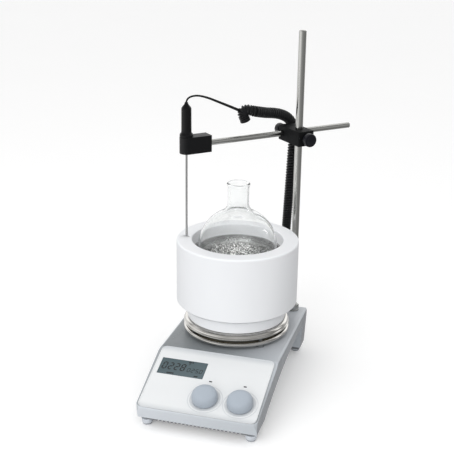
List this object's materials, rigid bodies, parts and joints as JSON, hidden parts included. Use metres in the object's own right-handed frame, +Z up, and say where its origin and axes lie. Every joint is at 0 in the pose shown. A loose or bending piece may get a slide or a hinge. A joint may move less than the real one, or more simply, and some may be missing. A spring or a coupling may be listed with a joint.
{
  "type": "magnetic stirrer",
  "caption": "Benchtop magnetic stirrer with hot plate, sloped control panel, insulated flask block with round-bottom flask, and a rod stand holding a temperature probe on a coiled lead.",
  "frame": {"origin": "centre of the housing's footprint, on the bench surface under the feet", "axes": "+X across the front panel to the right, +Y from the front panel to the back wall, +Z up"},
  "size_m": [0.1963, 0.354, 0.46],
  "materials": {
    "housing_grey": "satin light grey enamel",
    "panel_white": "satin white",
    "base_dark": "satin dark grey",
    "cup_grey": "satin",
    "rubber_grey": "matt",
    "screw_steel": "machined",
    "lcd_glass": "reflective grey-green display",
    "lcd_back": "matt",
    "led_dark": "gloss dark lens",
    "board_green": "solder mask",
    "encoder_metal": "nickel plated",
    "knob_grey": "satin blue-grey",
    "plate_steel": "polished rim",
    "heater_mica": "matt",
    "fibre_white": "ceramic fibre",
    "shield_steel": "polished stainless",
    "ceramic_white": "matt",
    "motor_black": "satin black",
    "stator_copper": "enamelled windings",
    "rotor_dark": "matt",
    "magnet_nickel": "nickel plated",
    "socket_black": "moulded",
    "rocker_black": "gloss",
    "connector_metal": "nickel plated",
    "rod_steel": "ground stainless",
    "nut_steel": "plated",
    "clamp_black": "matt black coating",
    "knob_black": "matt black",
    "holder_black": "matt black",
    "handle_black": "satin black",
    "stem_steel": "bright stainless",
    "lead_black": "matt",
    "cord_black": "matt",
    "block_alu": "rough cast, speckled",
    "sleeve_white": "satin white",
    "gasket_grey": "matt",
    "flask_glass": "clear borosilicate",
    "bar_white": "PTFE"
  },
  "bodies": {
    "base": {"housing_shell": "housing_grey", "front_panel": "panel_white", "base_plate": "base_dark", "foot_cups": "cup_grey", "foot_pads": "rubber_grey", "foot_screws": "screw_steel", "base_screws": "screw_steel", "lcd_window": "lcd_glass", "lcd_module": "lcd_back", "indicator_leds": "led_dark", "control_board": "board_green", "encoders": "encoder_metal", "hot_plate": "plate_steel", "heater_element": "heater_mica", "insulation_pad": "fibre_white", "heat_shield": "shield_steel", "plate_spacers": "ceramic_white", "plate_screws": "screw_steel", "plate_sensor": "encoder_metal", "motor_bracket": "screw_steel", "motor_body": "motor_black", "motor_stator": "stator_copper", "motor_bearings": "screw_steel", "small_screws": "screw_steel", "power_board": "board_green", "power_inlet": "socket_black", "switch_body": "socket_black", "probe_socket": "connector_metal", "data_port": "connector_metal", "rod_bush": "screw_steel", "rod_nut": "nut_steel", "cord_plug": "socket_black"},
    "heat_switch": {"heat_plunger": "socket_black"},
    "heat_dial": {"heat_shaft": "encoder_metal", "heat_knob": "knob_grey"},
    "speed_switch": {"speed_plunger": "socket_black"},
    "speed_dial": {"speed_shaft": "encoder_metal", "speed_knob": "knob_grey"},
    "rotor": {"motor_shaft": "rod_steel", "rotor_core": "rotor_dark", "magnet_yoke": "screw_steel", "drive_magnets": "magnet_nickel"},
    "block": {"block_core": "block_alu", "block_ring": "sleeve_white", "block_gasket": "gasket_grey", "block_shell": "sleeve_white"},
    "flask_body": {"flask": "flask_glass"},
    "bar": {"stir_bar": "bar_white"},
    "stand_rod": {"support_rod": "rod_steel"},
    "boss": {"boss_head": "clamp_black", "coiled_cord": "cord_black"},
    "rod_screw": {"rod_clamp_screw": "knob_black"},
    "arm_screw": {"arm_clamp_screw": "knob_black"},
    "arm": {"cross_rod": "rod_steel"},
    "holder": {"probe_holder": "holder_black", "holder_screw": "screw_steel"},
    "probe": {"probe_stem": "stem_steel", "probe_handle": "handle_black", "probe_lead": "lead_black"},
    "rocker": {"power_rocker": "rocker_black"}
  },
  "joints": [
    {"name": "heat_push", "type": "slide", "parent": "base", "child": "heat_switch", "axis": [0, 0.3274, -0.9449], "range_m": [0, 0.0008]},
    {"name": "heat_turn", "type": "hinge", "parent": "heat_switch", "child": "heat_dial", "pos_m": [0.05, -0.11506, 0.03864], "axis": [0, -0.3274, 0.9449], "continuous": true},
    {"name": "speed_push", "type": "slide", "parent": "base", "child": "speed_switch", "axis": [0, 0.3274, -0.9449], "range_m": [0, 0.0008]},
    {"name": "speed_turn", "type": "hinge", "parent": "speed_switch", "child": "speed_dial", "pos_m": [0.005, -0.11506, 0.03864], "axis": [0, -0.3274, 0.9449], "continuous": true},
    {"name": "power_rock", "type": "hinge", "parent": "base", "child": "rocker", "pos_m": [-0.014, 0.1385, 0.033], "axis": [1, 0, 0], "range_deg": [-12, 0]},
    {"name": "motor_spin", "type": "hinge", "parent": "base", "child": "rotor", "pos_m": [0, 0.043, 0.03], "axis": [0, 0, 1], "continuous": true},
    {"name": "block_lift", "type": "slide", "parent": "base", "child": "block", "axis": [0, 0, 1], "range_m": [0, 0.045]},
    {"name": "flask_lift", "type": "slide", "parent": "block", "child": "flask_body", "axis": [0, 0, 1], "range_m": [0, 0.085]},
    {"name": "bar_spin", "type": "hinge", "parent": "flask_body", "child": "bar", "pos_m": [0, 0.043, 0.14], "axis": [0, 0, 1], "continuous": true},
    {"name": "arm_swing", "type": "hinge", "parent": "base", "child": "stand_rod", "pos_m": [0.06, 0.126, 0.2], "axis": [0, 0, -1], "range_deg": [0, 100]},
    {"name": "boss_slide", "type": "slide", "parent": "stand_rod", "child": "boss", "axis": [0, 0, 1], "range_m": [-0.045, 0.09], "deforming": ["coiled_cord"]},
    {"name": "rod_clamp_turn", "type": "hinge", "parent": "boss", "child": "rod_screw", "pos_m": [0.06, 0.126, 0.319], "axis": [0.7097, -0.7045, 0], "range_deg": [-360, 0]},
    {"name": "arm_clamp_turn", "type": "hinge", "parent": "boss", "child": "arm_screw", "pos_m": [0.06, 0.126, 0.319], "axis": [-0.7097, 0.7045, 0], "range_deg": [-360, 0]},
    {"name": "arm_slide", "type": "slide", "parent": "boss", "child": "arm", "axis": [-0.7045, -0.7097, 0], "range_m": [0, 0.055]},
    {"name": "holder_tilt", "type": "hinge", "parent": "arm", "child": "holder", "pos_m": [-0.067, 0.03, 0.319], "axis": [0.7045, 0.7097, 0], "range_deg": [0, 60]},
    {"name": "probe_slide", "type": "slide", "parent": "holder", "child": "probe", "axis": [0, 0, 1], "range_m": [0, 0.06], "deforming": ["probe_lead"]}
  ],
  "couplings": [
    {"joint": "bar_spin", "follows": "motor_spin", "ratio": 1}
  ]
}
